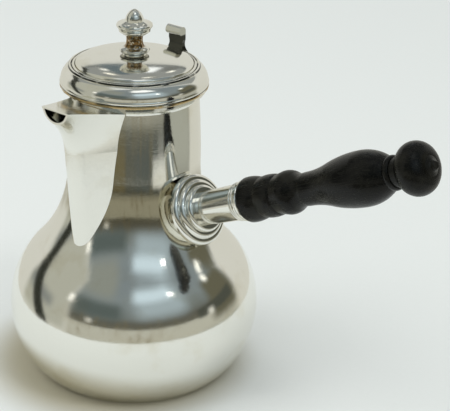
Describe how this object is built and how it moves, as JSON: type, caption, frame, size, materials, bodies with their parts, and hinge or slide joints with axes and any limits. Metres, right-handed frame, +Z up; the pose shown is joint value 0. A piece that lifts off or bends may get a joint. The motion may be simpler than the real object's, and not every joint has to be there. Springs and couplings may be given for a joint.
{
  "type": "hot milk pitcher",
  "caption": "Baluster silver hot milk pitcher with covered beak spout, hinged lid with turned finial and thumbpiece, and a turned wooden side handle.",
  "frame": {"origin": "centre of the base, on the table", "axes": "+Z up, spout to -Y, handle to +X, lid hinge at +Y with its axis along X"},
  "size_m": [0.2312, 0.124, 0.1858],
  "materials": {
    "silver": "polished silver, finely rubbed",
    "silver_inside": "polished silver",
    "ebonised_wood": "satin, worn"
  },
  "bodies": {
    "pitcher": {"body_shell": "silver", "base_plate": "silver_inside", "rim_moulding": "silver", "spout_shell": "silver", "spout_cover": "silver", "handle_escutcheon": "silver", "handle_socket": "silver", "socket_ring": "silver", "wooden_handle": "ebonised_wood", "handle_pin": "silver", "body_hinge_leaf": "silver", "hinge_pin": "silver"},
    "lid": {"lid_shell": "silver", "lid_border": "silver", "lid_bezel": "silver_inside", "lid_hinge_leaf": "silver", "thumbpiece": "silver", "finial_plate": "silver", "finial": "silver", "finial_stud": "silver_inside", "finial_washer": "silver_inside", "finial_nut": "silver_inside"}
  },
  "joints": [
    {"name": "lid_hinge", "type": "hinge", "parent": "pitcher", "child": "lid", "pos_m": [0, 0.0386, 0.14825], "axis": [-1, 0, 0], "range_deg": [0, 100]}
  ]
}
